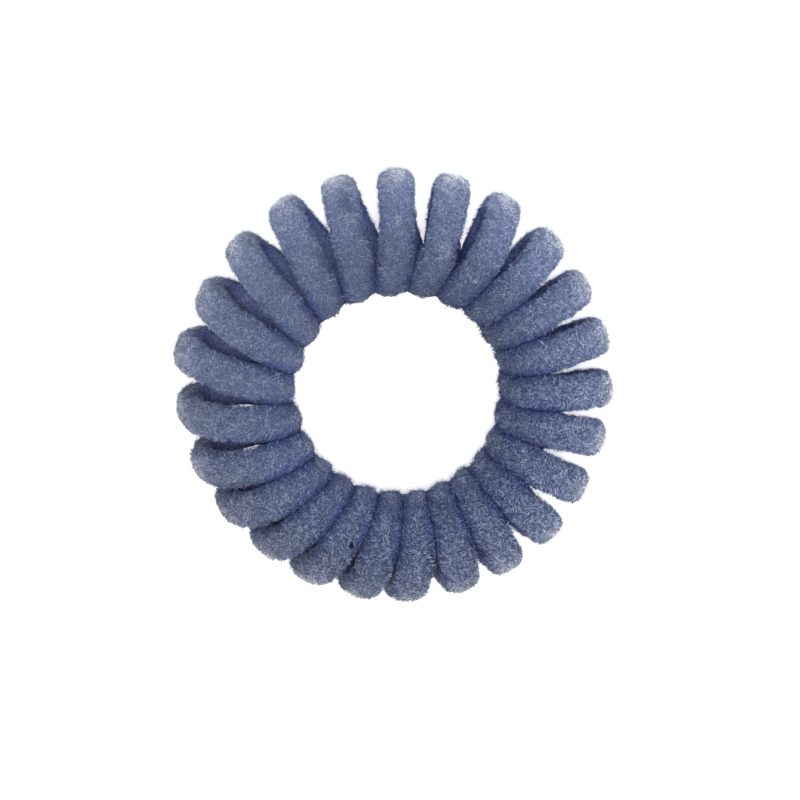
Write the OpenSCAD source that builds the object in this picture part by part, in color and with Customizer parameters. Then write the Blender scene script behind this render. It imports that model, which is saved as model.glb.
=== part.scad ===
// A spiral hair tie: one soft wire wound into a coil, the coil bent round into a closed ring.
// It lies flat, the ring's hole up. Sizes are in mm, +Z is up, the origin is under the ring's middle.
// Winding has flattened the wire to a squarish oval, so the turns end bluntly. They touch and press
// each other flat at the hole, and stand apart like fingers outside.

/* [Ring] */
// Radius of the ring, from its middle to the middle of the coil, in mm
ring_radius = 16; // [15:0.25:20]
// Number of turns of the coil in the whole ring
turns = 24; // [18:1:25]
// Turning of the whole ring on the surface, in degrees clockwise
first_turn = -2.4; // [-15:0.1:15]

/* [Coil] */
// Radius of the coil, from its middle line to the middle of the wire, outward and inward, in mm
coil_radius = 4.55; // [3.6:0.05:4.9]
// Radius of the coil, from its middle line to the middle of the wire, up and down, in mm
coil_rise = 4.55; // [3.6:0.05:4.9]
// How much further round a turn's hole end lies than half-way between two tips, in shares of a turn
hole_lead = 0.075; // [0:0.005:0.15]
// How much further round the middle of the strand on top lies, and how much less the one below
top_lead = 0.07; // [0:0.005:0.12]

/* [Wire] */
// Width of the wire with its flock, across the run of its turns, in mm
wire_width = 3.65; // [2.6:0.05:3.7]
// Depth of the wire, from the inside of the coil to its outside, in mm
wire_depth = 3; // [2.4:0.05:3.6]
// How square the section is: 2 for an oval, more for flatter sides and tighter corners
squareness = 3; // [2:0.1:3.5]
// Crease left open between two turns that press each other flat, in mm
crease = 0.12; // [0.08:0.01:0.3]

/* [Lie of the ring] */
// How far the top of the coil has slid sideways against its middle, in mm
top_slide = 0.95; // [0:0.05:1.4]
// How far the foot of the coil has slid the opposite way, in mm
foot_slide = 1.3; // [0:0.05:1.6]
// How far the hole lies off the middle of the outer tips, the same way as the top, in mm
hole_shift = 1.05; // [0:0.05:1.5]
// Direction in which the top and the hole have slid, in degrees clockwise from +Y
slide_direction = 147; // [0:1:360]
// How far the turns are drawn together on one side of the ring, in degrees
bunching = 5; // [0:0.25:7]
// Side on which the turns lie closest, in degrees clockwise from +Y
bunching_side = 153; // [0:5:360]
// Strength of the small unevenness between single turns, 0 for an even coil
unevenness = 1; // [0:0.05:1.2]

/* [Fineness] */
// Sections along one turn of the wire
sections_per_turn = 20; // [14:1:20]
// Sides of each section of the wire
sides = 12; // [8:2:12]

/* [Hidden] */

// The first four columns move a turn clockwise, in shares of the advance of one turn: at the hole,
// on top, at the outer tip and underneath. The last two lengthen the turn at its outer tip and at
// the hole, in shares of coil_radius.
//  hole    top    tip   foot  reach    dip
turn_table = [
  [0.10, 0.07, 0.08, -0.05, -0.08, 0.06],
  [0.10, 0.09, 0.07, -0.03, -0.01, 0.04],
  [0.10, 0.13, 0.03, -0.03, 0.04, 0.00],
  [0.09, 0.07, 0.04, -0.04, 0.05, -0.06],
  [0.05, -0.02, 0.00, 0.03, 0.04, -0.04],
  [0.01, -0.06, -0.05, 0.00, 0.05, -0.08],
  [0.04, -0.07, -0.07, 0.04, 0.02, -0.02],
  [0.06, -0.12, -0.10, 0.02, 0.00, 0.00],
  [0.12, -0.06, -0.09, -0.02, 0.01, -0.02],
  [0.15, -0.03, -0.07, 0.03, 0.05, -0.04],
  [0.14, -0.01, -0.02, 0.00, 0.02, -0.02],
  [0.14, 0.02, -0.02, 0.00, -0.02, -0.02],
  [0.07, 0.04, 0.09, 0.00, -0.04, -0.02],
  [0.03, 0.04, 0.02, 0.02, -0.08, -0.01],
  [0.01, 0.05, 0.06, 0.00, -0.08, 0.00],
  [-0.03, -0.01, 0.04, -0.04, -0.11, 0.00],
  [-0.05, -0.05, 0.00, -0.05, -0.08, 0.00],
  [-0.04, -0.09, -0.05, -0.06, -0.05, 0.00],
  [0.00, -0.07, -0.04, -0.04, -0.03, -0.02],
  [0.02, -0.04, 0.00, 0.00, 0.06, -0.08],
  [-0.02, -0.06, 0.01, 0.00, -0.09, -0.03],
  [-0.05, -0.01, 0.03, -0.03, -0.11, -0.01],
  [-0.04, 0.02, 0.05, -0.01, -0.08, -0.02],
  [0.03, 0.03, 0.06, -0.05, -0.11, 0.03]
];

pitch = 360 / turns;
slide = [sin(slide_direction), cos(slide_direction), 0];
step = 1 / sections_per_turn;

function unit(v) = v / norm(v);

// Counts round and round: n less as many whole times d as leave something from 0 to d
function wrap(n, d) = n - d * floor(n / d);

// Row of the table for a turn, whatever the number of turns
function turn_row(t) = turn_table[wrap(wrap(t, turns), len(turn_table))];

// Unevenness at the quarters of the wire's way: at the hole, on top, at the tip and underneath
function quarter_shift(q) =
  let (t = floor(q / 4), c = wrap(q, 4))
  c < 3 ? turn_row(t)[c] : turn_row(t)[3] + (turn_row(t)[2] + turn_row(t + 1)[0]) / 2;

// The same anywhere between the quarters, by a smooth curve through them
function uneven(u) =
  let (
    q = floor(4 * u),
    f = 4 * u - q,
    a = quarter_shift(q - 1),
    b = quarter_shift(q),
    c = quarter_shift(q + 1),
    d = quarter_shift(q + 2)
  )
  unevenness * (b + f * (c - a + f * (2 * a - 5 * b + 4 * c - d + f * (3 * b - 3 * c + d - a))) / 2);

// Middle of the wire after u turns. A turn runs from the hole over the top to the outer tip, and
// back underneath. The slide is full at the top and at the foot, and nothing half-way up.
function wire_at(u) =
  let (
    way = 360 * u,
    outward = -cos(way),
    upward = sin(way),
    even = first_turn + pitch * (u - 0.5 + hole_lead * (1 - outward) / 2 + top_lead * upward + uneven(u)),
    heading = even - bunching * sin(even - bunching_side),
    longer = outward > 0 ? turn_row(floor(u))[4] : turn_row(round(u))[5],
    reach = 1 + unevenness * longer * outward * outward,
    out = ring_radius + coil_radius * reach * outward,
    slid = (top_slide + foot_slide) / 2 * upward + (top_slide - foot_slide) / 2 * upward * upward
  )
  [out * sin(heading), out * cos(heading), coil_rise * upward]
    + slide * (slid - hole_shift * outward / 2);

// Direction of the wire, as long as the way it would go in one turn at that pace
function run_at(u) = (wire_at(u + step / 8) - wire_at(u - step / 8)) * 4 / step;

// Way from the wire's middle straight across to the middle of the next turn on one side
function across(u, side) =
  let (
    here = wire_at(u),
    run = run_at(u),
    ahead = (wire_at(u + side) - here) * run / (run * run)
  )
  wire_at(u + side - ahead) - here;

// A point of the section, pressed back to half the way to the neighbouring turn
function pressed(p, way) =
  let (room = (norm(way) - crease) / 2, past = p * unit(way) - room)
  past > 0 ? p - past * unit(way) : p;

// Reach of the section's edge at an angle, against that of an oval of the same width and depth
function wire_edge(a) = pow(pow(abs(cos(a)), squareness) + pow(abs(sin(a)), squareness), -1 / squareness);

// One section of the wire: a squarish oval with its flanks pressed flat by the turns beside it
function section_at(u) =
  let (
    here = wire_at(u),
    run = unit(run_at(u)),
    outward = here - ring_radius * unit([here.x, here.y, 0]),
    face = unit(outward - (outward * run) * run),
    flank = cross(run, face),
    after = across(u, 1),
    before = across(u, -1)
  )
  [for (i = [0:sides - 1])
    let (
      a = 360 * (i + 0.5) / sides,
      p = wire_edge(a) * (wire_depth / 2 * cos(a) * face + wire_width / 2 * sin(a) * flank)
    )
    here + pressed(pressed(p, after), before)];

sections = turns * sections_per_turn;
raw_points = [for (s = [0:sections - 1]) each section_at(s * step)];
lowest = [for (i = [0:2]) min([for (p = raw_points) p[i]])];
highest = [for (i = [0:2]) max([for (p = raw_points) p[i]])];
middle = (lowest + highest) / 2;
coil_points = [for (p = raw_points) p - [middle.x, middle.y, lowest.z]];
coil_faces = [for (s = [0:sections - 1], i = [0:sides - 1])
  let (
    here = s * sides,
    next = wrap(s + 1, sections) * sides,
    j = wrap(i + 1, sides)
  )
  each [[here + i, next + i, here + j], [next + i, next + j, here + j]]];

// The whole coil, one closed wire with no end
module coil() {
  color([0.37, 0.41, 0.53])
    polyhedron(points = coil_points, faces = coil_faces, convexity = 10);
}

coil();
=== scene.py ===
# %% [markdown]
# # A flocked spiral hair tie
# The real hair tie is one soft plastic wire, wound into a coil of twenty-four turns and joined
# into a ring. Flocking has been blown onto it: a pile of short fibres that stand in glue, so
# that the wire feels like velvet.
#
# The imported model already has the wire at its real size, pile included, but smooth and of one
# colour. This lesson dresses it in three steps: a finer skin on the wire, a pile of real fibres
# on the skin, and the few marks that a worn tie has. Blender works in metres, so each length
# below is written in millimetres times MM.

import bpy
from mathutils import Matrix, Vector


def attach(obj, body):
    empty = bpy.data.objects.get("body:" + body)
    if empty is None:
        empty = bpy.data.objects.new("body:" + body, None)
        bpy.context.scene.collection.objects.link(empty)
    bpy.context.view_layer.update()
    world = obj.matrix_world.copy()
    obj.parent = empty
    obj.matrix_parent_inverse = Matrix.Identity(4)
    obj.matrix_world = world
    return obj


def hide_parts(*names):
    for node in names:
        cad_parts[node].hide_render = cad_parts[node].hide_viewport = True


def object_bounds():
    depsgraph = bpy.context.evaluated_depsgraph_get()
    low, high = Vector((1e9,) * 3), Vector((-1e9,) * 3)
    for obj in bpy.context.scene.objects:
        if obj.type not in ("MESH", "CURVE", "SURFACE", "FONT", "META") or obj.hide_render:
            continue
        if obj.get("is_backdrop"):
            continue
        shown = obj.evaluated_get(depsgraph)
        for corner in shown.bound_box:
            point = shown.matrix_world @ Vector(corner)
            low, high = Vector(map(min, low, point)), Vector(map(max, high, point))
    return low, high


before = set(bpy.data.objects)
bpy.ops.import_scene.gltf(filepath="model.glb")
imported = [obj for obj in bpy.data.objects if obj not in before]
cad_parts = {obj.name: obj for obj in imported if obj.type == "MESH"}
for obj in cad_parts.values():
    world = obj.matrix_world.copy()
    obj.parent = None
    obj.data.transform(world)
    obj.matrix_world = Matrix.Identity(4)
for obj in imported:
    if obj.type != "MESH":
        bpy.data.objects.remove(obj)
cad_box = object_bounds()
print("packed nodes:", sorted(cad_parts))

import bmesh
import bpy
import numpy as np
from mathutils import Quaternion, Vector, bvhtree, kdtree, noise

MM = 0.001
scene = bpy.context.scene
print("Blender %s, lengths in metres" % bpy.app.version_string)

# %% [markdown]
# ## The camera
# The tie lies flat and is seen from straight above. A camera close by would show the crests of
# the coil larger than its underside. A long lens from a metre up shows them at nearly one size,
# as in the picture that this model follows.
#
# The middle of the tie isn't the middle of the picture. Blender can shift a lens for this, but
# a shift stays when the camera moves elsewhere, so the camera itself stands a little aside.

# %% Camera straight above
PICTURE_SIDE = 800
PIXEL = 0.1007 * MM
TIE_MIDDLE_PIXEL = (392.7, 384.2)
CAMERA_HEIGHT = 1.0


def placed(name, data):
    """A new object in the scene."""
    thing = bpy.data.objects.new(name, data)
    scene.collection.objects.link(thing)
    return thing


def camera_above():
    """A camera that looks straight down, with the tie where the picture has it."""
    data = bpy.data.cameras.new("camera_above")
    camera = placed("camera_above", data)
    aside = PICTURE_SIDE / 2 - TIE_MIDDLE_PIXEL[0]
    up = TIE_MIDDLE_PIXEL[1] - PICTURE_SIDE / 2
    camera.location = (aside * PIXEL, up * PIXEL, CAMERA_HEIGHT)
    half_height = (cad_box[0].z + cad_box[1].z) / 2
    width_seen = PICTURE_SIDE * PIXEL
    data.lens = data.sensor_width * (CAMERA_HEIGHT - half_height) / width_seen
    return camera


def on_picture(across, down):
    """The place on the floor under a pixel of the picture."""
    return Vector((across - TIE_MIDDLE_PIXEL[0], TIE_MIDDLE_PIXEL[1] - down, 0)) * PIXEL


scene.camera = camera_above()
print("camera lens: %.0f mm" % scene.camera.data.lens)

# %% [markdown]
# ## Floor and light
# Flock has no gloss, so its form shows only through soft shade between the turns. That asks for
# light from everywhere, which a bright pale room gives. A lamp high above reaches down between
# the turns to the strands under them, and a wide one on the near side leaves the far flank of
# each turn darker. The room is a little blue and the lamps are a little warm, so the shade
# between the turns looks navy and the worn tips look grey. The plain colour transform keeps the
# dye's blue as it is set, where a film-like one would grey it.
#
# White card under strong lamps looks white even in the narrow gaps between the turns. A floor
# that only reflects would need so much light that the pile bleaches. This floor glows a little
# instead, like a weak light table, and its glow also pales the edges of the turns.

# %% Floor, room and lamps
FLOOR_SIDE = 3.0
FLOOR_COLOUR = (0.86, 0.86, 0.86, 1)
FLOOR_GLOW = 0.50
ROOM_COLOUR = (0.78, 0.90, 1.0, 1)
ROOM_STRENGTH = 0.72
LAMP_COLOUR = (1.0, 0.95, 0.90)
LAMPS = {
    "lamp_above": {"side": 0.20, "place": (0.02, -0.08, 1.10), "power": 7.0},
    "lamp_near": {"side": 0.35, "place": (0.03, -0.42, 0.42), "power": 1.5},
}


def mesh_of(name, points, faces):
    """A mesh from its corners and its faces."""
    mesh = bpy.data.meshes.new(name)
    mesh.from_pydata(np.asarray(points).tolist(), [], np.asarray(faces).tolist())
    return mesh


def plain_floor():
    """A pale sheet that the tie lies on."""
    half = FLOOR_SIDE / 2
    corners = [(-half, -half, 0), (half, -half, 0), (half, half, 0), (-half, half, 0)]
    mesh = mesh_of("floor", corners, [(0, 1, 2, 3)])
    material = bpy.data.materials.new("pale_floor")
    material.use_nodes = True
    shader = material.node_tree.nodes["Principled BSDF"]
    shader.inputs["Base Color"].default_value = FLOOR_COLOUR
    shader.inputs["Roughness"].default_value = 1.0
    shader.inputs["Specular IOR Level"].default_value = 0.0
    shader.inputs["Emission Color"].default_value = (1, 1, 1, 1)
    shader.inputs["Emission Strength"].default_value = FLOOR_GLOW
    mesh.materials.append(material)
    return placed("floor", mesh)


def soft_lamp(name, side, place, power):
    """A square lamp that points at the tie."""
    data = bpy.data.lights.new(name, "AREA")
    data.size = side
    data.energy = power
    data.color = LAMP_COLOUR
    lamp = placed(name, data)
    lamp.location = place
    lamp.rotation_euler = (-Vector(place)).to_track_quat("-Z", "Y").to_euler()


plain_floor()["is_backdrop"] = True
for name, lamp in LAMPS.items():
    soft_lamp(name, **lamp)
scene.world = bpy.data.worlds.new("pale_room")
scene.world.use_nodes = True
room = scene.world.node_tree.nodes["Background"].inputs
room["Color"].default_value = ROOM_COLOUR
room["Strength"].default_value = ROOM_STRENGTH
scene.view_settings.view_transform = "Standard"
print("lamps:", ", ".join(LAMPS))

# %% [markdown]
# ## Reading the wire
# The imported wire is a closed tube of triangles. To comb fibres along it, the script has to know
# which way the wire runs and which way goes round it. Its corners come in no useful order, and
# each is listed once for every triangle there, so copies at one place are first taken as one.
# Six edges then meet at each corner, like streets on a triangular plan. A walk that goes straight
# on at each corner is back after one short round of the wire, or after its whole length.
#
# So the walks themselves tell the two ways apart, and laying all short rounds side by side
# gives a net: one row for each cross-section, one column for each side.

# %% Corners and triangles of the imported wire
SAME_CORNER = 0.002 * MM


def first_copies(points):
    """For each point, the first of the points that lie at the same place."""
    tree = kdtree.KDTree(len(points))
    for number, point in enumerate(points):
        tree.insert(point, number)
    tree.balance()
    return [min(found[1] for found in tree.find_range(point, SAME_CORNER)) for point in points]


def corners_of(node):
    """The node's corners, each listed once, and its triangles."""
    mesh = node.data
    found = np.empty(len(mesh.vertices) * 3, np.float32)
    mesh.vertices.foreach_get("co", found)
    found = found.reshape(-1, 3).astype(float)
    first, same = np.unique(first_copies(found), return_inverse=True)
    mesh.calc_loop_triangles()
    triangles = np.empty(len(mesh.loop_triangles) * 3, np.int32)
    mesh.loop_triangles.foreach_get("vertices", triangles)
    return found[first], same[triangles].reshape(-1, 3)


corners, triangles = corners_of(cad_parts["coil"])
print("corners: %d, triangles: %d" % (len(corners), len(triangles)))


# %% Walks over the wire
NEIGHBOURS = 6
STRAIGHT_ON = NEIGHBOURS // 2


def turning_table(triangles):
    """For each corner and neighbour, the next neighbour to the left."""
    left_of = {}
    for a, b, c in triangles.tolist():
        left_of[a, b], left_of[b, c], left_of[c, a] = c, a, b
    return left_of


def walk(left_of, start, second):
    """The corners passed on a straight walk that ends where it began."""
    passed = [start, second]
    while True:
        ahead = passed[-2]
        for _ in range(STRAIGHT_ON):
            ahead = left_of[passed[-1], ahead]
        if ahead == start:
            return passed
        passed.append(ahead)


def wire_net(corners, triangles):
    """The wire's corners as rows, one for each cross-section."""
    left_of = turning_table(triangles)
    neighbours = [triangles[0][1]]
    start = triangles[0][0]
    for _ in range(NEIGHBOURS - 1):
        neighbours.append(left_of[start, neighbours[-1]])
    walks = [walk(left_of, start, second) for second in neighbours]
    sides = min(len(path) for path in walks)

    def length(path):
        return np.linalg.norm(np.diff(corners[path], axis=0), axis=1).sum()

    along = min((path for path in walks if len(path) > sides), key=length)
    turns_left = 0
    second = along[1]
    while len(walk(left_of, start, second)) != sides:
        second = left_of[start, second]
        turns_left += 1
    rows = []
    for here, ahead in zip(along, along[1:] + along[:1]):
        for _ in range(turns_left):
            ahead = left_of[here, ahead]
        rows.append(walk(left_of, here, ahead))
    return corners[np.array(rows)]


net = wire_net(corners, triangles)
SECTIONS, SIDES = net.shape[:2]
TURNS = 24
print("cross-sections: %d, sides: %d" % (SECTIONS, SIDES))

# %% [markdown]
# ## A finer net
# Twelve sides are enough to hold the wire in a simulation, but they show as flats. A
# subdivision surface would round them, and would also shrink the tube by a twentieth. Here
# each ring and each lengthwise line of the net becomes a smooth closed curve through its own
# corners instead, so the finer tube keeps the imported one's thickness. The same helper refines
# any other value on the net, such as a shade or a comb direction.

# %% Curves through the net
FINER_ALONG = 2
FINER_AROUND = 5
SMALLEST = 1e-12


def curved(values, times, axis):
    """Closed smooth curves through the values along one axis, cut into more steps."""
    before, here, after, beyond = (np.roll(values, shift, axis) for shift in (1, 0, -1, -2))
    steps = []
    for t in np.arange(times) / times:
        slope = (after - before) * t
        bend = (2 * before - 5 * here + 4 * after - beyond) * t**2
        twist = (3 * here - before - 3 * after + beyond) * t**3
        steps.append(here + (slope + bend + twist) / 2)
    shape = list(values.shape)
    shape[axis] *= times
    return np.stack(steps, axis + 1).reshape(shape)


def finer(values):
    """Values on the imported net, carried over to the finer net."""
    return curved(curved(values, FINER_ALONG, 0), FINER_AROUND, 1)


def unit(vectors):
    """The same directions, each one long."""
    return vectors / np.maximum(np.linalg.norm(vectors, axis=-1, keepdims=True), SMALLEST)


def middle_of_rings(values):
    """The middle of each cross-section, repeated for each of its points."""
    return np.broadcast_to(values.mean(1, keepdims=True), values.shape)


skin = finer(net)
print("finer net: %d by %d" % skin.shape[:2])


# %% Which way the skin faces
def facing_out(points):
    """The direction square to the skin at each point."""
    along = np.roll(points, -1, 0) - np.roll(points, 1, 0)
    around = np.roll(points, -1, 1) - np.roll(points, 1, 1)
    out = unit(np.cross(along, around))
    flip = np.sign((out * (points - middle_of_rings(points))).sum())
    return out * flip


def away_from_tunnel(points):
    """The direction from the middle of the coil's tunnel to the wire, at each point."""
    middle = points.mean(1)
    per_turn = len(points) // TURNS
    reach = np.arange(-(per_turn // 2), per_turn - per_turn // 2)
    tunnel = np.mean([np.roll(middle, step, 0) for step in reach], 0)
    return np.broadcast_to(unit(middle - tunnel)[:, None], points.shape)


out = facing_out(skin)
outside = (out * away_from_tunnel(skin)).sum(-1)
print("share of the skin that faces out of the coil: %.2f" % (outside > 0).mean())

# %% [markdown]
# ## How sheltered each place is
# Where turns lean on each other the pile is crushed, unworn and in shade. Where nothing is near,
# it stands up and has gone pale. A renderer's own shade gives part of this. The dye paints more
# shade in too: sheltered places are tinted bluer and darker in red and green, and they are rubbed
# less. So the script measures it: from each corner of the imported net a few straight lines are
# sent out, and the sooner they meet the wire, the more sheltered that corner is.

# %% Shelter
LOOK_DISTANCE = 4.0 * MM
LOOK_START = 0.02 * MM
LOOK_TILTS = ((40, 6), (68, 8))
OPEN_UP_TO = 0.03
SHUT_IN_FROM = 0.38


def tube_faces(rows, columns):
    """Four-sided faces over a net of points that closes both ways."""
    i, j = np.meshgrid(np.arange(rows), np.arange(columns), indexing="ij")
    here = i * columns + j
    ahead = (i + 1) % rows * columns + j
    ahead_left = (i + 1) % rows * columns + (j + 1) % columns
    left = i * columns + (j + 1) % columns
    return np.stack([here, ahead, ahead_left, left], -1).reshape(-1, 4)


def solid_for_looking(points):
    """The net as a solid that straight lines can be tested against."""
    faces = tube_faces(*points.shape[:2])
    return bvhtree.BVHTree.FromPolygons(points.reshape(-1, 3).tolist(), faces.tolist())


def gap_ahead(point, way, solid):
    """How far one can look from a point before the wire is in the way, up to LOOK_DISTANCE."""
    gap = solid.ray_cast(point + way * LOOK_START, way, LOOK_DISTANCE)[3]
    return LOOK_DISTANCE if gap is None else gap + LOOK_START


def ways_out(facing):
    """Straight ahead, and two rings of directions tilted away from it."""
    aside = facing.orthogonal().normalized()
    ways = [facing]
    for tilt, count in LOOK_TILTS:
        tilted = facing * np.cos(np.radians(tilt)) + aside * np.sin(np.radians(tilt))
        ways += [Quaternion(facing, 2 * np.pi * k / count) @ tilted for k in range(count)]
    return ways


def shelter_at(point, facing, solid):
    """From 0 in the open to 1 where every line of sight is short."""
    gaps = [gap_ahead(point, way, solid) for way in ways_out(facing)]
    return 1 - min(sum(gaps) / len(gaps) / LOOK_DISTANCE, 1)


wire_solid = solid_for_looking(skin)
net_out = facing_out(net)
shelter = np.empty((SECTIONS, SIDES))
for i in range(SECTIONS):
    for j in range(SIDES):
        shelter[i, j] = shelter_at(Vector(net[i, j]), Vector(net_out[i, j]), wire_solid)
shelter = np.clip((finer(shelter) - OPEN_UP_TO) / (SHUT_IN_FROM - OPEN_UP_TO), 0, 1)
print("mean shelter: %.2f" % shelter.mean())

# %% [markdown]
# ## How worn each place is
# Wear isn't even on a thing that is pulled over hair every day. Three rules, each a number for
# every point of the skin, say where it shows, and they also carry painted light. The outer tips
# rub on everything, and the rim of the hole rubs on hair, most on its near side; the outward rims
# of the outer tips are painted paler still, as a sheen. The tunnel inside the coil isn't rubbed;
# it lies in shade, and the dye paints light into it, paler and bluer. The side of the ring towards
# the far right is painted paler, as a lamp there would light it: its outer tips, and the near-left
# rim of the hole, which faces that way. And on the far left the fibres are worn to one shade,
# where on the near right each still has its own.

# %% Where the pile is rubbed pale, and where sheen is painted on
# Painted light: the side of the ring that lies this way is painted paler, as a lamp there would
# light it.
SIDE_LIGHT_WAY = (0.50, 0.87, 0.00)
RUBBED_FROM = 12.0 * MM
RUBBED_FULLY = 22.0 * MM
TIPS_SHARPNESS = 4
RUBBED_ON_TIPS = 0.62
RUBBED_AT_HOLE = 0.56
HOLE_SWING = 0.75
HOLE_SIDE_FROM = 0.65
RIM_FROM = 0.50
RIM_STARTS = 18.0 * MM
RIM_WHOLE = 20.5 * MM
RIM_MEAN = 0.86
RIM_SWING = 0.14
HIDDEN_FROM = 0.1
HIDDEN_FULLY = -0.5


def wear_and_rim_sheen_at(points, facing):
    """From 0 where nothing rubs the pile to 1 on the rim of the outer tips, less at the hole; the
    rims are painted sheen.
    """
    flat = (points - points.reshape(-1, 3).mean(0)) * (1, 1, 0)
    radius = np.linalg.norm(flat, axis=-1)
    far_out = np.clip((radius - RUBBED_FROM) / (RUBBED_FULLY - RUBBED_FROM), 0, 1)
    # Painted sheen: the outward rims of the outer tips are made paler, where fuzz is seen edge-on
    # against the light.
    on_rim = np.clip(((facing * unit(flat)).sum(-1) - RIM_FROM) / (1 - RIM_FROM), 0, 1)
    on_rim *= np.clip((radius - RIM_STARTS) / (RIM_WHOLE - RIM_STARTS), 0, 1)
    # The rims and the hole's rim follow the painted side light too.
    toward_side_light = unit(flat) @ SIDE_LIGHT_WAY
    on_rim *= RIM_MEAN + RIM_SWING * toward_side_light
    at_tips = np.maximum(RUBBED_ON_TIPS * far_out**TIPS_SHARPNESS, on_rim)
    inward = -(away_from_tunnel(points) * unit(flat)).sum(-1)
    at_hole = RUBBED_AT_HOLE * np.clip((inward - HOLE_SIDE_FROM) / (1 - HOLE_SIDE_FROM), 0, 1)
    at_hole *= np.clip(HOLE_SWING * (1 - toward_side_light), 0, 1)
    return np.maximum(at_tips * (1 - shelter), at_hole * (1 - shelter / 2))


def inside_coil():
    """From 0 outside the coil to 1 where the skin faces its tunnel, and nothing rubs it."""
    return np.clip((HIDDEN_FROM - outside) / (HIDDEN_FROM - HIDDEN_FULLY), 0, 1)


hidden = inside_coil()
wear_and_rim_sheen = wear_and_rim_sheen_at(skin, out) * (1 - hidden)
print("mean rubbing: %.2f, hidden in the tunnel: %.2f" % (wear_and_rim_sheen.mean(), hidden.mean()))

# %% Which side is painted lighter
SIDE_LIGHT_OUTER_FROM = 13.0 * MM
SIDE_LIGHT_OUTER_FULLY = 18.8 * MM
INNER_SIDE_LIGHT = 0.42
INNER_SIDE_LIGHT_SWING = 0.24
OUTER_SIDE_LIGHT = 0.52
OUTER_SIDE_LIGHT_SWING = 0.48


def painted_side_light_at(points):
    """Painted light, from 0 to 1: highest on the outer tips towards the far right, and on the
    near-left rim of the hole.
    """
    flat = points * (1, 1, 0)
    radius = np.linalg.norm(flat, axis=-1)
    outer = np.clip((radius - SIDE_LIGHT_OUTER_FROM) / (SIDE_LIGHT_OUTER_FULLY - SIDE_LIGHT_OUTER_FROM), 0, 1)
    on_that_side = flat @ SIDE_LIGHT_WAY / radius
    at_hole = INNER_SIDE_LIGHT - INNER_SIDE_LIGHT_SWING * on_that_side
    at_tips = OUTER_SIDE_LIGHT + OUTER_SIDE_LIGHT_SWING * on_that_side
    return at_hole * (1 - outer) + at_tips * outer


painted_side_light = painted_side_light_at(skin)
print("washed out by more than half: %.0f%%" % (100 * (painted_side_light > 0.5).mean()))

# %% Where the pile is worn even
EVEN_WAY = (-0.50, 0.87, 0.00)
EVEN_REACH = 32.0 * MM


def even_at(points):
    """From 0 where each fibre keeps its own shade to 1 on the side that is worn even."""
    return np.clip(0.5 + points @ EVEN_WAY / EVEN_REACH, 0, 1)


even = even_at(skin)
print("mean evenness: %.2f" % even.mean())

# %% [markdown]
# ## Dye and wear, as node groups
# The wire's glue layer and the fibres on it are dyed alike, and both fade alike, so the dye is one
# node group that each material uses with its own values. The same group paints in light and shade.
# A group like this is a recipe with named inputs: a pale or dark fibre, the height above the root,
# the shelter, the creases, each kind of wear, and the painted sheen and side light. Inside, a ramp
# picks the fibre's own shade, evenness draws it towards the mean one, fading and painted sheen are
# added to it, and the other inputs each multiply it by a tint: painted shade low in the pile, in
# shelter and beside creases, and painted light in the tunnel and on one side. A second group makes
# the soft patches, a few millimetres across, where the pile was brushed one way or the other, and
# a third the fine streaks of fibres that are matted together.

# %% Helpers for groups
def new_group(name, inputs, output):
    """A shader node group with number inputs and one output, ready for its inner nodes."""
    group = bpy.data.node_groups.new(name, "ShaderNodeTree")
    for label, value in inputs.items():
        number = group.interface.new_socket(label, in_out="INPUT", socket_type="NodeSocketFloat")
        number.default_value = value
    group.interface.new_socket(output[0], in_out="OUTPUT", socket_type=output[1])
    given = group.nodes.new("NodeGroupInput").outputs
    made = group.nodes.new("NodeGroupOutput").inputs
    return group, given, made


def feed(tree, value, socket):
    """Links a socket to an input, or sets a plain value there."""
    if isinstance(value, bpy.types.NodeSocket):
        tree.links.new(value, socket)
    else:
        socket.default_value = value


def mixed(tree, blend, amount, first, second):
    """A colour mix; each part is a socket, a number or a colour."""
    node = tree.nodes.new("ShaderNodeMix")
    node.data_type = "RGBA"
    node.blend_type = blend
    feed(tree, amount, node.inputs[0])
    feed(tree, first, node.inputs[6])
    feed(tree, second, node.inputs[7])
    return node.outputs[2]


def math_node(tree, operation, *numbers):
    """One sum on two or three numbers, each a socket or a plain value."""
    node = tree.nodes.new("ShaderNodeMath")
    node.operation = operation
    for number, socket in zip(numbers, node.inputs):
        feed(tree, number, socket)
    return node.outputs[0]


# %% Group: flock dye
WHITE = (1, 1, 1, 1)
FIBRE_SHADES = (
    (0.00, (0.009, 0.016, 0.072, 1)),
    (0.32, (0.058, 0.088, 0.234, 1)),
    (0.60, (0.196, 0.254, 0.464, 1)),
    (1.00, (0.560, 0.635, 0.840, 1)),
)
MEAN_SHADE = (0.201, 0.255, 0.440, 1)
MOST_ALIKE = 0.60
# Fading on worn tips and at the hole, and painted sheen on the rims of the outer tips.
FADE_AND_SHEEN_SHADES = (
    (0.00, (0.000, 0.000, 0.000, 1)),
    (0.40, (0.138, 0.145, 0.175, 1)),
    (0.75, (0.490, 0.460, 0.425, 1)),
    (1.00, (0.850, 0.790, 0.650, 1)),
)
# Painted shade: fibres are darker towards their roots, where the pile shades itself.
ROOT_PAINTED_SHADE = 0.50
DARK_FIBRES_FADE_AND_SHEEN = 0.4
PALE_FIBRES_FADE_AND_SHEEN_MORE = 1.2
# Painted shade: sheltered places are tinted bluer, and darker in red and green.
SHELTER_PAINTED_SHADE_TINT = (0.880, 0.930, 1.120, 1)
# Painted light: skin that faces the coil's tunnel lies in shade, and is made paler and bluer.
TUNNEL_PAINTED_LIGHT_TINT = (1.250, 1.230, 1.480, 1)
# Painted shade beside the creases, and the darker dye of the flattened patch.
CREASE_SHADE_AND_MATTED_TINT = (0.530, 0.590, 0.800, 1)
# Painted shade on skin and pile away from the painted side light.
AWAY_FROM_SIDE_LIGHT_SHADE = (0.605, 0.580, 0.545, 1)


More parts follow.
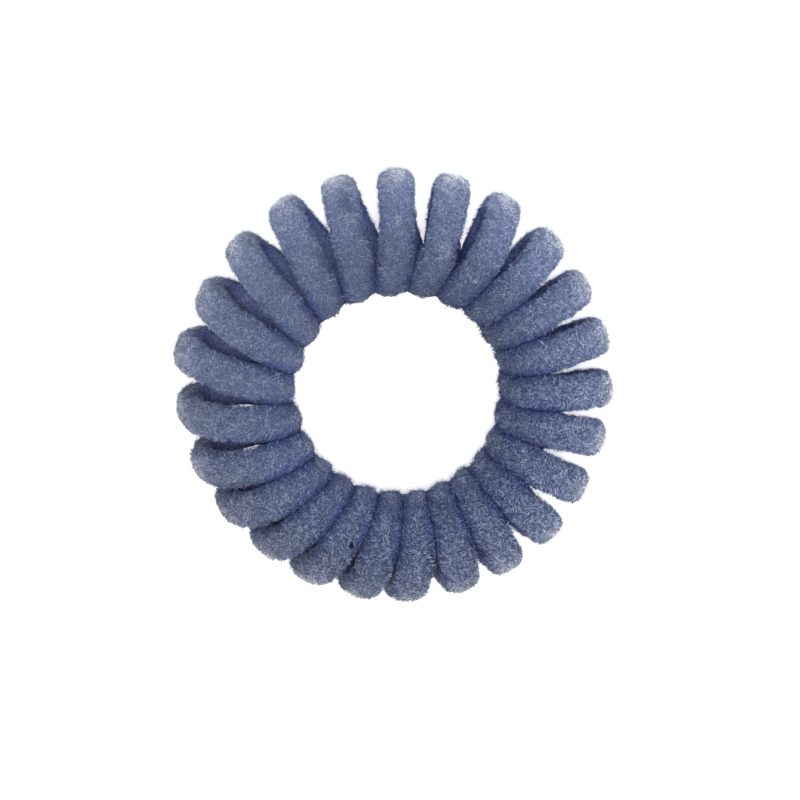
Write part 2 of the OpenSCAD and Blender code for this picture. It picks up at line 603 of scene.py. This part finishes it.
def shade_ramp(tree, value, shades):
    """A colour picked by a number from 0 to 1."""
    ramp = tree.nodes.new("ShaderNodeValToRGB")
    while len(ramp.color_ramp.elements) < len(shades):
        ramp.color_ramp.elements.new(0.5)
    for element, (place, colour) in zip(ramp.color_ramp.elements, shades):
        element.position = place
        element.color = colour
    tree.links.new(value, ramp.inputs[0])
    return ramp.outputs[0]


def flock_dye():
    """Colour of a fibre: its dye and wear, with painted shade at the root, in shelter and beside
    creases, painted light in the tunnel and on one side, and fading with painted sheen on the
    outer tips.
    """
    wanted = {
        "Fibre Shade": 0.5,
        "Height": 1.0,
        "Shelter": 0.0,
        "Matting": 0.0,
        "Fading": 0.0,
        "Washed": 1.0,
        "Evenness": 0.0,
        "Hidden": 0.0,
    }
    group, given, made = new_group("Flock Dye", wanted, ("Colour", "NodeSocketColor"))
    own = shade_ramp(group, given["Fibre Shade"], FIBRE_SHADES)
    alike = math_node(group, "MULTIPLY", given["Evenness"], MOST_ALIKE)
    dyed = mixed(group, "MIX", alike, own, MEAN_SHADE)
    taken_up = math_node(
        group, "MULTIPLY_ADD", given["Fibre Shade"], PALE_FIBRES_FADE_AND_SHEEN_MORE, DARK_FIBRES_FADE_AND_SHEEN
    )
    fade_and_sheen = shade_ramp(group, given["Fading"], FADE_AND_SHEEN_SHADES)
    # Fading and painted sheen are added to the dye.
    faded_and_sheened = mixed(group, "ADD", 1.0, dyed, mixed(group, "MULTIPLY", 1.0, fade_and_sheen, taken_up))
    # Painted shade where the wire is sheltered.
    painted_shelter_shade = mixed(group, "MIX", given["Shelter"], WHITE, SHELTER_PAINTED_SHADE_TINT)
    # Painted shade beside creases, and the darker dye of the flattened patch.
    crease_shade_and_matted = mixed(group, "MIX", given["Matting"], WHITE, CREASE_SHADE_AND_MATTED_TINT)
    # Painted shade low in the pile, at fibre roots and on the skin.
    root = mixed(group, "MIX", given["Height"], (ROOT_PAINTED_SHADE, ROOT_PAINTED_SHADE, ROOT_PAINTED_SHADE, 1), WHITE)
    # Painted side light, and painted shade away from it.
    painted_side_lighting = mixed(group, "MIX", given["Washed"], AWAY_FROM_SIDE_LIGHT_SHADE, WHITE)
    # Painted light in the coil's tunnel.
    hidden = mixed(group, "MIX", given["Hidden"], WHITE, TUNNEL_PAINTED_LIGHT_TINT)
    colour = faded_and_sheened
    for part in (painted_shelter_shade, crease_shade_and_matted, root, painted_side_lighting, hidden):
        colour = mixed(group, "MULTIPLY", 1.0, colour, part)
    group.links.new(colour, made["Colour"])
    return group


DYE = flock_dye()
print("node group:", DYE.name)


# %% Group: brushed patches
def stretched_contrast(tree, value, contrast):
    """A number from 0 to 1, pushed away from one half and held between 0 and 1."""
    pushed = math_node(tree, "MULTIPLY", math_node(tree, "SUBTRACT", value, 0.5), contrast)
    result = math_node(tree, "ADD", pushed, 0.5)
    result.node.use_clamp = True
    return result


def brushed_patches():
    """Soft patches of lighter and darker nap, from 0 to 1."""
    wanted = {"Patches per Metre": 400.0, "Contrast": 1.0}
    group, given, made = new_group("Brushed Patches", wanted, ("Mask", "NodeSocketFloat"))
    place = group.nodes.new("ShaderNodeTexCoord").outputs["Object"]
    clouds = group.nodes.new("ShaderNodeTexNoise")
    clouds.inputs["Detail"].default_value = 3.0
    group.links.new(place, clouds.inputs["Vector"])
    group.links.new(given["Patches per Metre"], clouds.inputs["Scale"])
    mask = stretched_contrast(group, clouds.outputs["Fac"], given["Contrast"])
    group.links.new(mask, made["Mask"])
    return group


PATCHES = brushed_patches()
print("node group:", PATCHES.name)


# %% Group: matted streaks
def vector_node(tree, operation, first, second, socket=1):
    """One sum on two vectors, or on a vector and what goes into another of the node's inputs."""
    node = tree.nodes.new("ShaderNodeVectorMath")
    node.operation = operation
    feed(tree, first, node.inputs[0])
    feed(tree, second, node.inputs[socket])
    return node.outputs[0]


def matted_streaks():
    """Fine streaks that lie in tufts, each tuft its own way, from 0 to 1."""
    wanted = {
        "Tufts per Metre": 1600.0,
        "Streaks per Metre": 9000.0,
        "Stretch": 0.2,
        "Contrast": 2.0,
    }
    group, given, made = new_group("Matted Streaks", wanted, ("Mask", "NodeSocketFloat"))
    place = group.nodes.new("ShaderNodeTexCoord").outputs["Object"]
    tufts = group.nodes.new("ShaderNodeTexVoronoi")
    group.links.new(place, tufts.inputs["Vector"])
    group.links.new(given["Tufts per Metre"], tufts.inputs["Scale"])
    full_turns = vector_node(group, "SCALE", tufts.outputs["Color"], 2 * np.pi, "Scale")
    turned = group.nodes.new("ShaderNodeVectorRotate")
    turned.rotation_type = "EULER_XYZ"
    group.links.new(place, turned.inputs["Vector"])
    group.links.new(tufts.outputs["Position"], turned.inputs["Center"])
    group.links.new(full_turns, turned.inputs["Rotation"])
    thin = group.nodes.new("ShaderNodeCombineXYZ")
    group.links.new(given["Stretch"], thin.inputs["X"])
    for axis in ("Y", "Z"):
        thin.inputs[axis].default_value = 1.0
    drawn_out = vector_node(group, "MULTIPLY", turned.outputs["Vector"], thin.outputs["Vector"])
    streaks = group.nodes.new("ShaderNodeTexNoise")
    streaks.inputs["Detail"].default_value = 1.0
    group.links.new(drawn_out, streaks.inputs["Vector"])
    group.links.new(given["Streaks per Metre"], streaks.inputs["Scale"])
    mask = stretched_contrast(group, streaks.outputs["Fac"], given["Contrast"])
    group.links.new(mask, made["Mask"])
    return group


STREAKS = matted_streaks()
print("node group:", STREAKS.name)

# %% Helpers for materials
FLOCK_ROUGHNESS = 0.95
FLOCK_GLOSS = 0.15


def place_group(tree, group, **values):
    """Puts a group into a material; underscores in the names stand for spaces."""
    node = tree.nodes.new("ShaderNodeGroup")
    node.node_tree = group
    for name, value in values.items():
        feed(tree, value, node.inputs[name.replace("_", " ")])
    return node.outputs[0]


def stored(tree, name):
    """A number that the mesh holds at each corner."""
    node = tree.nodes.new("ShaderNodeAttribute")
    node.attribute_name = name
    return node.outputs["Fac"]


def flock_colour(tree, shade, height, fade_and_sheen):
    """The dye, worn and with painted light and shade, as the mesh says at each corner."""
    return place_group(
        tree,
        DYE,
        Fibre_Shade=shade,
        Height=height,
        Shelter=stored(tree, "shelter"),
        Matting=stored(tree, "crease_shade_and_matting"),
        Fading=fade_and_sheen,
        Washed=stored(tree, "painted_side_light"),
        Evenness=stored(tree, "even"),
        Hidden=stored(tree, "hidden"),
    )


def matt_material(name):
    """A material without gloss, its node tree and its shader's inputs."""
    material = bpy.data.materials.new(name)
    material.use_nodes = True
    shader = material.node_tree.nodes["Principled BSDF"].inputs
    shader["Roughness"].default_value = FLOCK_ROUGHNESS
    shader["Specular IOR Level"].default_value = FLOCK_GLOSS
    return material, material.node_tree, shader


# %% [markdown]
# ## The skin of the wire
# Under the fibres lies the wire itself with its coat of glue. It shows between the fibres, so it
# carries the same dye, painted darker for the shade that falls on it under the pile, and a fine
# bump at the size of fibre roots. Its surface isn't quite even either: glue gathers, and fibres
# stand in tufts. That unevenness is a few hundredths of a millimetre of real shape, so that the
# outline has it too.
#
# The wire's own piece replaces the imported solid in the picture, and lies just inside it. The
# pile then fills the rest, so that wire and pile together have the measured thickness. Where turns
# lean on each other the pile is crushed to nothing, and the skin comes up until it meets its
# neighbour, so that no floor shines through the crease. Beside each crease skin and pile are
# painted darker and bluer: painted shade, for the shade in the valley between two turns. On one
# outer tip a patch of pile is flattened: fewer fibres stand there, and the dye below them is
# darkened with the same tint.

# %% Where turns press on each other
CRUSHED_BELOW = 0.16 * MM
UPRIGHT_ABOVE = 0.50 * MM
OVERLAP = 0.01 * MM
CREASE_REACH = 4


def gaps_beside(points, facing):
    """How far each point is from the turn that it faces."""
    pairs = zip(points.reshape(-1, 3), facing.reshape(-1, 3))
    gaps = [gap_ahead(Vector(point), Vector(way), wire_solid) for point, way in pairs]
    return np.array(gaps).reshape(points.shape[:2])


def widened(crushed):
    """The crushed places and what lies beside them, with a soft edge."""
    steps = range(-CREASE_REACH, CREASE_REACH + 1)
    wide = np.maximum.reduce([np.roll(crushed, step, 1) for step in steps])
    return sum(np.roll(wide, step, 1) for step in steps) / len(steps)


gaps = gaps_beside(skin, out)
crushed = np.clip((UPRIGHT_ABOVE - gaps) / (UPRIGHT_ABOVE - CRUSHED_BELOW), 0, 1)
crease = widened(crushed)
print("share of the skin beside a crease: %.2f" % crease.mean())

# %% One flattened patch, and all wear, painted light and painted shade together
FLATTENED_SPOT = (344, 204)
FLATTENED_WIDTH = 0.9 * MM
FLATTENED_LENGTH = 1.6 * MM
FLATTENED_SHARPNESS = 2
TIE_HALF_HEIGHT = 6.0 * MM
# Painted shade: how strongly the crease tint darkens skin and pile beside each crease.
CREASE_PAINTED_SHADE = 0.8
FLATTENED_MATTING = 0.8
LESS_FADE_AND_SHEEN_IN_CREASE = 0.5


def flattened_at(points):
    """1 in the middle of the flattened patch on one outer tip, falling to 0 round it."""
    middle = on_picture(*FLATTENED_SPOT)
    across = (points[..., 0] - middle.x) / FLATTENED_WIDTH
    down = (points[..., 1] - middle.y) / FLATTENED_LENGTH
    away = np.hypot(across, down)
    return np.exp(-(away**2) * FLATTENED_SHARPNESS) * (points[..., 2] > TIE_HALF_HEIGHT)


flattened = flattened_at(skin)
STATES = {
    "shelter": shelter,
    # Painted shade beside creases, real matting on the flattened patch.
    "crease_shade_and_matting": np.maximum(CREASE_PAINTED_SHADE * crease, FLATTENED_MATTING * flattened),
    # Wear, and painted sheen on the rims.
    "wear_and_rim_sheen": wear_and_rim_sheen * (1 - LESS_FADE_AND_SHEEN_IN_CREASE * crease),
    "painted_side_light": painted_side_light * (1 - flattened),
    "even": even,
    "hidden": hidden,
}
print("numbers kept for the materials:", ", ".join(STATES))

# %% Skin points
SKIN_INSET = 0.18 * MM
VALLEY_DEPTH = 0.03 * MM
TUFTS = ((0.9 * MM, 0.05 * MM), (0.4 * MM, 0.03 * MM))


def uneven(points):
    """Height of the tufts at each point."""
    heights = np.zeros(points.shape[:2])
    for size, depth in TUFTS:
        found = [noise.noise(Vector(point / size)) for point in points.reshape(-1, 3)]
        heights += depth * np.array(found).reshape(points.shape[:2])
    return heights


loose = uneven(skin) - SKIN_INSET - VALLEY_DEPTH * crease
pressed_together = np.minimum(gaps, CRUSHED_BELOW) / 2 + OVERLAP
height = loose * (1 - crushed) + pressed_together * crushed
flocked_skin = skin + out * height[..., None]
flocked_skin[..., 2] = np.maximum(flocked_skin[..., 2], 0.0)
print("skin points: %d" % (flocked_skin.size // 3))

# %% Skin mesh
MAP_ROWS = 8
MAP_GAP = 0.06


def laid_out(rows, columns):
    """Where each corner of each face lies on a flat map: the wire cut into stretches."""
    per_row = rows // MAP_ROWS
    i, j = np.meshgrid(np.arange(rows), np.arange(columns), indexing="ij")
    spots = []
    for ahead, left in ((0, 0), (1, 0), (1, 1), (0, 1)):
        u = (i % per_row + ahead) / per_row
        v = (i // per_row + (j + left) / columns * (1 - MAP_GAP)) / MAP_ROWS
        spots.append(np.stack([u, v], -1))
    return np.stack(spots, 2).reshape(-1, 2)


def keep_map(mesh, spots):
    """Keeps the flat map with the mesh."""
    layer = mesh.uv_layers.new(name="OFBake")
    layer.uv.foreach_set("vector", spots.astype(np.float32).ravel())


def store(mesh, name, values):
    """Keeps a number for each corner of the mesh, for its material to read."""
    attribute = mesh.attributes.new(name, "FLOAT", "POINT")
    attribute.data.foreach_set("value", np.asarray(values, np.float32).ravel())


def closed_tube(name, points):
    """A smooth mesh over a net that closes both ways."""
    rows, columns = points.shape[:2]
    faces = tube_faces(rows, columns)
    mesh = mesh_of(name, points.reshape(-1, 3), faces)
    keep_map(mesh, laid_out(rows, columns))
    mesh.polygons.foreach_set("use_smooth", np.ones(len(faces), bool))
    return mesh


def outward_if_inside_out(mesh):
    """Turns all faces over when the mesh was made inside out, and returns its volume."""
    points = np.empty(len(mesh.vertices) * 3, np.float32)
    mesh.vertices.foreach_get("co", points)
    points = points.reshape(-1, 3).astype(float)
    mesh.calc_loop_triangles()
    sides = np.empty(len(mesh.loop_triangles) * 3, np.int32)
    mesh.loop_triangles.foreach_get("vertices", sides)
    a, b, c = points[sides.reshape(-1, 3)].transpose(1, 0, 2)
    volume = (np.cross(a, b) * c).sum() / 6
    if volume < 0:
        mesh.flip_normals()
    return abs(volume)


skin_mesh = closed_tube("flocked_wire", flocked_skin)
print("wire volume: %.0f cubic mm" % (outward_if_inside_out(skin_mesh) / MM**3))
for label, values in STATES.items():
    store(skin_mesh, label, values)

# %% Skin material
# Painted shade: the skin counts as low in the pile, so the dye darkens it.
SKIN_HEIGHT = 0.25
SKIN_FADE_AND_SHEEN = 0.6
STREAK_CONTRAST = 2.0
ROOT_DEPTH = 0.06 * MM


def glue_and_roots():
    """The wire between the fibres: dyed, darkened with painted shade, matted and rough."""
    material, tree, shader = matt_material("glue_and_roots")
    streaks = place_group(tree, STREAKS, Contrast=STREAK_CONTRAST)
    fade_and_sheen = math_node(tree, "MULTIPLY", stored(tree, "wear_and_rim_sheen"), SKIN_FADE_AND_SHEEN)
    colour = flock_colour(tree, streaks, SKIN_HEIGHT, fade_and_sheen)
    tree.links.new(colour, shader["Base Color"])
    bump = tree.nodes.new("ShaderNodeBump")
    bump.inputs["Distance"].default_value = ROOT_DEPTH
    tree.links.new(streaks, bump.inputs["Height"])
    tree.links.new(bump.outputs["Normal"], shader["Normal"])
    return material


flocked_wire = placed("flocked_wire", skin_mesh)
skin_mesh.materials.append(glue_and_roots())
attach(flocked_wire, "root")
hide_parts("coil")
print("skin faces: %d" % len(skin_mesh.polygons))

# %% [markdown]
# ## The pile
# Flock fibres are cut to about one length. New ones stand nearly upright, and on a worn tie most
# lean far over. A hair system could grow them, but a hair system is no solid shape, and it is
# lost when the model is handed on. So each fibre here is a tiny closed spindle of four
# triangles: a root, a tip, and two corners that make it thickest half-way.
#
# Three rules make the pile look worn and not like noise. Neighbouring fibres share a comb
# direction, which changes about every millimetre and is drawn down the flanks of the turns. A
# fibre lies flatter where the pile is worn even. And it only grows as long as there is room for
# it, so that the pile is crushed where two turns lean on each other.
#
# The comb directions come from Blender's vector noise. It starts somewhere else in each run
# unless it is given a seed, so it is given one, and the pile is the same each time.

# %% Comb directions
COMB_SEED = 5
COMB_PATCH = 1.3 * MM
PULL_DOWN_FLANKS = 0.35


def comb_directions(points, facing):
    """A smooth field of directions that lie flat on the skin."""
    found = [noise.noise_vector(Vector(point / COMB_PATCH)) for point in points.reshape(-1, 3)]
    field = np.array(found).reshape(points.shape) - PULL_DOWN_FLANKS * away_from_tunnel(points)
    return unit(field - (field * facing).sum(-1, keepdims=True) * facing)


noise.seed_set(COMB_SEED)
comb = comb_directions(skin, out)
print("comb directions: %d" % (comb.size // 3))

# %% Where fibres grow
FIBRES_PER_COAT = 35500
COATS = 6
TURNS_PER_COAT = TURNS // COATS
TUNNEL_SHARE = 0.12
UNDERSIDE_SHARE = 0.4
UNDERSIDE_HEIGHT = 2.0 * MM
GROWTH_ON_FLANKS = 0.6
GROWTH_RISE = 1.5
BARE_SHARE = 0.8


def growth_weights():
    """How many fibres each patch of the net should get, as shares of one."""
    along = np.roll(flocked_skin, -1, 0) - flocked_skin
    around = np.roll(flocked_skin, -1, 1) - flocked_skin
    area = np.linalg.norm(np.cross(along, around), axis=-1)
    facing = np.clip(outside * GROWTH_RISE + GROWTH_ON_FLANKS, 0, 1)
    weights = area * (TUNNEL_SHARE + (1 - TUNNEL_SHARE) * facing)
    weights[flocked_skin[..., 2] < UNDERSIDE_HEIGHT] *= UNDERSIDE_SHARE
    weights *= (1 - crushed) * (1 - BARE_SHARE * flattened)
    return weights


def grown_at(values, i, j, part_along, part_around):
    """A value of the net at places between its corners."""
    rows, columns = values.shape[:2]
    i_ahead = (i + 1) % rows
    j_left = (j + 1) % columns
    if values.ndim == 3:
        part_along = part_along[:, None]
        part_around = part_around[:, None]
    near = values[i, j] * (1 - part_around) + values[i, j_left] * part_around
    far = values[i_ahead, j] * (1 - part_around) + values[i_ahead, j_left] * part_around
    return near * (1 - part_along) + far * part_along


weights = growth_weights()
print("skin area that grows fibres: %.0f square mm" % (weights.sum() / MM**2))

# %% Shape of the fibres
FIBRE_LENGTH = 0.54 * MM
LENGTH_SPREAD = 0.30
LENGTH_LIMITS = (0.4, 1.5)
FIBRE_WIDTH = 0.078 * MM
WIDTH_LIMITS = (0.7, 1.3)
ROOT_SUNK = 0.04 * MM
LEAN = 1.20
LEAN_WHERE_EVEN = 1.36
LEAN_SPREAD = 0.20
UNRULY = 0.8
LEAST_LEAN = 0.05
MOST_LEAN = 1.45
BOW = 0.4
ROOM_USED = 0.9
LEAST_ROOM = 0.12 * MM
FLOOR_GAP = 0.02 * MM
NEARLY_NOTHING = 1e-9


def fibre_ways(facing, combed, evenness, dice):
    """The direction of each fibre: up from the skin, leaning the way it is combed."""
    stray = dice.normal(size=facing.shape)
    stray -= (stray * facing).sum(-1, keepdims=True) * facing
    flat = unit(combed + UNRULY * stray)
    usual_lean = LEAN + (LEAN_WHERE_EVEN - LEAN) * evenness
    lean = np.clip(dice.normal(usual_lean, LEAN_SPREAD), LEAST_LEAN, MOST_LEAN)[:, None]
    return facing * np.cos(lean) + flat * np.sin(lean)


def room_for(roots, ways, facing, lengths):
    """How far each fibre can grow before it meets another turn."""
    room = lengths.copy()
    starts = roots + facing * (SKIN_INSET + ROOT_SUNK + LOOK_START / 2)
    for k in range(len(roots)):
        gap = wire_solid.ray_cast(Vector(starts[k]), Vector(ways[k]), lengths[k])[3]
        if gap is not None:
            room[k] = gap * ROOM_USED
    return room


def spindles(roots, ways, facing, lengths, widths):
    """Four corners for each fibre: its root, its tip and two half-way up."""
    across = unit(np.cross(ways, facing) + NEARLY_NOTHING)
    above = np.cross(across, ways)
    half_way = roots + ways * (lengths / 2)[:, None]
    lift = above * (widths * BOW)[:, None]
    side = across * (widths / 2)[:, None]
    tips = roots + ways * lengths[:, None]
    return np.stack([roots, tips, half_way + lift - side, half_way + lift + side], 1)


print("fibre: %.2f mm long, %.3f mm wide" % (FIBRE_LENGTH / MM, FIBRE_WIDTH / MM))


# %% Fibres grown on some turns
def picked_places(rows, dice):
    """Places on some rows of the net, as many on each patch as its weight asks for."""
    share = weights[rows].ravel().cumsum()
    picked = np.searchsorted(share, dice.random(FIBRES_PER_COAT) * share[-1])
    i, j = np.divmod(picked, skin.shape[1])
    return i + rows.start, j, dice.random(FIBRES_PER_COAT), dice.random(FIBRES_PER_COAT)


def grown_fibres(place, dice):
    """The corners of the fibres at these places, and which of them have room to grow."""
    facing = unit(grown_at(out, *place))
    roots = grown_at(flocked_skin, *place) - facing * ROOT_SUNK
    ways = fibre_ways(facing, grown_at(comb, *place), grown_at(even, *place), dice)
    lengths = np.clip(dice.normal(1, LENGTH_SPREAD, FIBRES_PER_COAT), *LENGTH_LIMITS)
    lengths = room_for(roots, ways, facing, FIBRE_LENGTH * lengths)
    kept = lengths > LEAST_ROOM
    widths = FIBRE_WIDTH * dice.uniform(*WIDTH_LIMITS, FIBRES_PER_COAT)
    points = spindles(roots[kept], ways[kept], facing[kept], lengths[kept], widths[kept])
    points[..., 2] = np.maximum(points[..., 2], FLOOR_GAP)
    return points, kept


# %% One coat of fibres as a mesh
SPINDLE_FACES = np.array(((0, 2, 1), (0, 1, 3), (0, 3, 2), (1, 2, 3)))
SPINDLE_HEIGHTS = (0.0, 1.0, 0.6, 0.6)
SPINDLE_ON_MAP = np.array(((0.5, 0.1), (0.5, 0.9), (0.1, 0.5), (0.9, 0.5)))
SPINDLE_CORNERS = len(SPINDLE_HEIGHTS)


def cells_on_map(count):
    """Where the corners of each fibre's faces lie on a flat map: a cell for each fibre."""
    across = int(np.ceil(count**0.5))
    cell = np.arange(count)
    low = np.stack([cell % across, cell // across], -1)[:, None, None]
    return ((low + SPINDLE_ON_MAP[SPINDLE_FACES]) / across).reshape(-1, 2)


def coat_of_fibres(name, first_turn, last_turn, seed):
    """Fibres on some of the turns, as one mesh."""
    dice = np.random.default_rng(seed)
    per_turn = len(skin) // TURNS
    place = picked_places(slice(first_turn * per_turn, last_turn * per_turn), dice)
    points, kept = grown_fibres(place, dice)
    count = len(points)
    first_corners = np.arange(count)[:, None, None] * SPINDLE_CORNERS
    faces = (first_corners + SPINDLE_FACES).reshape(-1, 3)
    mesh = mesh_of(name, points.reshape(-1, 3), faces)
    keep_map(mesh, cells_on_map(count))
    store(mesh, "height", np.tile(SPINDLE_HEIGHTS, count))
    for label, values in STATES.items():
        store(mesh, label, np.repeat(grown_at(values, *place)[kept], SPINDLE_CORNERS))
    outward_if_inside_out(mesh)
    return mesh


# %% Pile material
PATCH_SHARE = 0.13
PATCHES_PER_METRE = 450.0
PATCH_CONTRAST = 1.2
SHEEN = 0.2
SHEEN_SPREAD = 0.6
SHEEN_TINT = (0.90, 0.93, 1.00, 1)


def fibre_finish():
    """Fibres of many shades, darker towards the roots as painted shade."""
    material, tree, shader = matt_material("flock_fibres")
    geometry = tree.nodes.new("ShaderNodeNewGeometry")
    patch = place_group(
        tree, PATCHES, Patches_per_Metre=PATCHES_PER_METRE, Contrast=PATCH_CONTRAST
    )
    own = math_node(tree, "MULTIPLY", geometry.outputs["Random Per Island"], 1 - PATCH_SHARE)
    shared = math_node(tree, "MULTIPLY", patch, PATCH_SHARE)
    shade = math_node(tree, "ADD", own, shared)
    colour = flock_colour(tree, shade, stored(tree, "height"), stored(tree, "wear_and_rim_sheen"))
    tree.links.new(colour, shader["Base Color"])
    shader["Sheen Weight"].default_value = SHEEN
    shader["Sheen Roughness"].default_value = SHEEN_SPREAD
    shader["Sheen Tint"].default_value = SHEEN_TINT
    return material


FLOCK = fibre_finish()
for coat in range(COATS):
    turns = (coat * TURNS_PER_COAT, (coat + 1) * TURNS_PER_COAT)
    name = "flock_turns_%d_to_%d" % (turns[0] + 1, turns[1])
    mesh = coat_of_fibres(name, *turns, seed=coat + 1)
    mesh.materials.append(FLOCK)
    pile = placed(name, mesh)
    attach(pile, "root")
    print("%s: %d fibres" % (name, len(mesh.vertices) // SPINDLE_CORNERS))

# %% [markdown]
# ## Lint and a speck
# Velvety things gather lint. This tie has a whitish wisp, a curled hair, three small tufts of
# fuzz and one dark crumb. Each is made of real shape that lies on the pile: a hair starts at a
# spot of the picture, wanders a little, and at each step a straight line downwards finds the
# wire that carries it. In the table below, spots and reaches are in pixels of the picture,
# lengths in millimetres, and ways, spreads and curls in degrees.

# %% Hairs of lint
LINT_SEED = 31
LINT_COLUMNS = ("spot", "reach", "hairs", "length", "way", "spread", "curl")
LINT = {
    "wisp": ((344, 221), (8, 3), 30, 0.9, 15, 45, 60),
    "curl": ((335, 260), (1, 1), 3, 1.8, 150, 30, 110),
    "tuft": ((399, 222), (3, 6), 30, 0.55, 120, 60, 40),
    "fuzz": ((444, 252), (6, 8), 80, 0.45, 70, 90, 80),
    "strokes": ((474, 282), (5, 3), 22, 0.45, 50, 50, 30),
}
LINT_STEPS = 7
LINT_WIDTH = 0.034 * MM
LINT_LIFT = 0.08 * MM
LINT_WOBBLE = 15
LOOK_DOWN_FROM = 20 * MM


def lying_on_pile(place):
    """The same place at the height of the pile, seen from above."""
    start = Vector((place[0], place[1], LOOK_DOWN_FROM))
    found = wire_solid.ray_cast(start, Vector((0, 0, -1)))[0]
    return None if found is None else found + Vector((0, 0, LINT_LIFT))


def hair_path(dice, spot, reach, length, way, spread, curl):
    """A hair that starts near a spot and bends steadily, or nothing if it would leave the wire."""
    place = on_picture(*(np.array(spot) + dice.uniform(-1, 1, 2) * reach))
    heading = dice.normal(way, spread)
    curl *= dice.choice((-1, 1))
    path = []
    for _ in range(LINT_STEPS):
        path.append(lying_on_pile(place))
        heading += (curl * length + dice.normal(0, LINT_WOBBLE)) / LINT_STEPS
        ahead = np.radians(heading)
        place = place + Vector((np.cos(ahead), np.sin(ahead), 0)) * length * MM / LINT_STEPS
    return None if None in path else np.array(path)


# %% Hairs as thin closed tubes
LINT_CORNERS = (90, 210, 330)


def thin_tube(path):
    """Corners and triangles of a closed three-sided tube, pointed at both ends."""
    along = unit(np.gradient(path, axis=0))
    side = unit(np.cross(along, (0, 0, 1)))
    above = np.cross(side, along)
    rings = []
    for angle in np.radians(LINT_CORNERS):
        aside = side * np.cos(angle) + above * np.sin(angle)
        rings.append((path + LINT_WIDTH / 2 * aside)[1:-1])
    points = np.concatenate([np.stack(rings, 1).reshape(-1, 3), path[:1], path[-1:]])
    last = len(path) - 3
    start, end = len(points) - 2, len(points) - 1
    faces = []
    for j in range(3):
        k = (j + 1) % 3
        faces += [(start, k, j), (end, 3 * last + j, 3 * last + k)]
        for i in range(0, 3 * last, 3):
            faces += [(i + j, i + k, i + 3 + j), (i + k, i + 3 + k, i + 3 + j)]
    return points, np.array(faces)


def joined(parts):
    """Many small shapes as one list of corners and one of triangles."""
    points, faces, count = [], [], 0
    for own_points, own_faces in parts:
        points.append(own_points)
        faces.append(own_faces + count)
        count += len(own_points)
    return np.concatenate(points), np.concatenate(faces)


def lint_hairs():
    """All hairs of lint."""
    dice = np.random.default_rng(LINT_SEED)
    parts = []
    for row in LINT.values():
        tuft = dict(zip(LINT_COLUMNS, row))
        for _ in range(tuft.pop("hairs")):
            path = hair_path(dice, **tuft)
            if path is not None:
                parts.append(thin_tube(path))
    return joined(parts)


# %% Lint as a piece
LINT_SHADES = (
    (0.0, (0.27, 0.31, 0.45, 1)),
    (0.6, (0.41, 0.45, 0.57, 1)),
    (1.0, (0.63, 0.65, 0.70, 1)),
)


def small_piece(name, points, faces, material):
    """A piece that lies on the pile and moves with the tie."""
    mesh = mesh_of(name, points, faces)
    outward_if_inside_out(mesh)
    mesh.materials.append(material)
    piece = placed(name, mesh)
    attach(piece, "root")
    print("%s: %d triangles" % (name, len(faces)))


def lint_finish():
    """Pale lint, each hair of its own shade."""
    material, tree, shader = matt_material("lint")
    geometry = tree.nodes.new("ShaderNodeNewGeometry")
    colour = shade_ramp(tree, geometry.outputs["Random Per Island"], LINT_SHADES)
    tree.links.new(colour, shader["Base Color"])
    return material


small_piece("stray_lint", *lint_hairs(), lint_finish())

# %% Speck as a piece
SPECK_SPOT = (352, 545)
SPECK_SIZE = Vector((0.23, 0.30, 0.14)) * MM
LUMP_DEPTH = 0.35
LUMPS_PER_RADIUS = 1.3
CRUMB_STREAKS_PER_METRE = 12000.0
CRUMB_SHADES = ((0.002, 0.002, 0.003, 1), (0.010, 0.010, 0.014, 1))


def crumb():
    """A lumpy dark crumb that has sunk half into the pile."""
    ball = bmesh.new()
    bmesh.ops.create_icosphere(ball, subdivisions=2, radius=1)
    middle = lying_on_pile(on_picture(*SPECK_SPOT))
    points = []
    for vert in ball.verts:
        lump = 1 + LUMP_DEPTH * noise.noise(vert.co * LUMPS_PER_RADIUS)
        points.append(middle + vert.co * SPECK_SIZE * lump)
    faces = [[vert.index for vert in face.verts] for face in ball.faces]
    ball.free()
    return np.array(points), np.array(faces)


def crumb_finish():
    """Nearly black, with a grain of its own."""
    material, tree, shader = matt_material("dark_crumb")
    streaks = place_group(tree, STREAKS, Streaks_per_Metre=CRUMB_STREAKS_PER_METRE)
    colour = mixed(tree, "MIX", streaks, *CRUMB_SHADES)
    tree.links.new(colour, shader["Base Color"])
    return material


small_piece("dark_speck", *crumb(), crumb_finish())

# %% [markdown]
# ## Sizes, and the end of the script
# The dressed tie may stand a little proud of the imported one, by the height of its pile. Both
# boxes are written down so that this can be checked.

# %% Write the sizes and finish
dressed_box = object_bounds()
print("packed and dressed sizes, mm:")
for box in (cad_box, dressed_box):
    print("  %.2f by %.2f by %.2f" % tuple((box[1] - box[0]) / MM))
